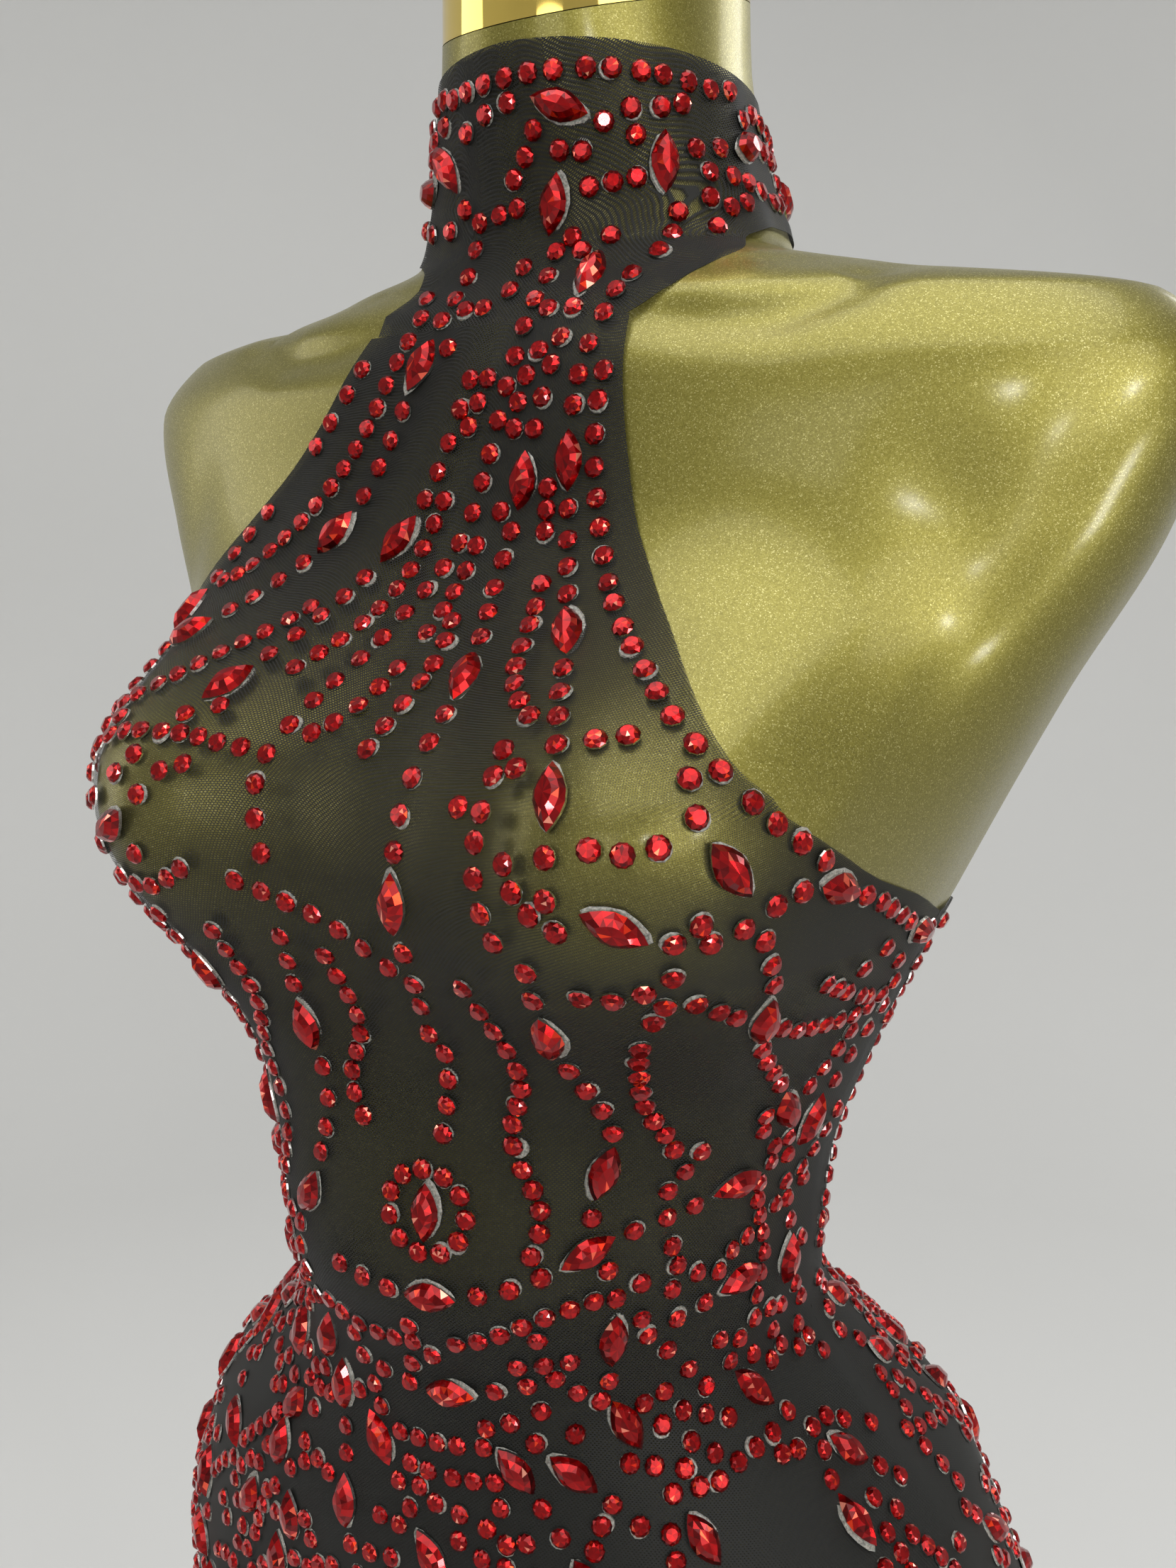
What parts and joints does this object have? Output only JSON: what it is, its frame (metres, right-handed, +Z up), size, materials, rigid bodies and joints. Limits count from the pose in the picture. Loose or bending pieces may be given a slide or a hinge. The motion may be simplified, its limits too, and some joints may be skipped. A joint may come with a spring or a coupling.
{
  "type": "bodycon mini dress on a dress form",
  "caption": "Halter-neck bodycon mini dress of black stretch net set with red stones, on a limbless gold dress form with a pole and round base.",
  "frame": {"origin": "middle of the round base's underside, straight below the middle of the form", "axes": "+Z up, +X towards the form's own left, -Y towards its front"},
  "size_m": [0.39, 0.36, 1.497],
  "materials": {
    "black_net": "fine hexagonal stretch net, see-through where it faces the eye",
    "red_stone": "faceted deep red glass with a foiled back",
    "stone_glue": "thin cloudy glue rim",
    "form_gold": "olive gold lacquer with fine flakes and a clear coat",
    "cap_gold": "mirror polished",
    "stand_steel": "satin"
  },
  "bodies": {
    "root": {"collar": "black_net", "front_panel": "black_net", "back_panel": "black_net", "nape_hook_upper": "stand_steel", "nape_hook_lower": "stand_steel", "dress_form": "form_gold", "neck_cap": "cap_gold", "pole": "stand_steel", "base": "stand_steel"}
  },
  "joints": []
}
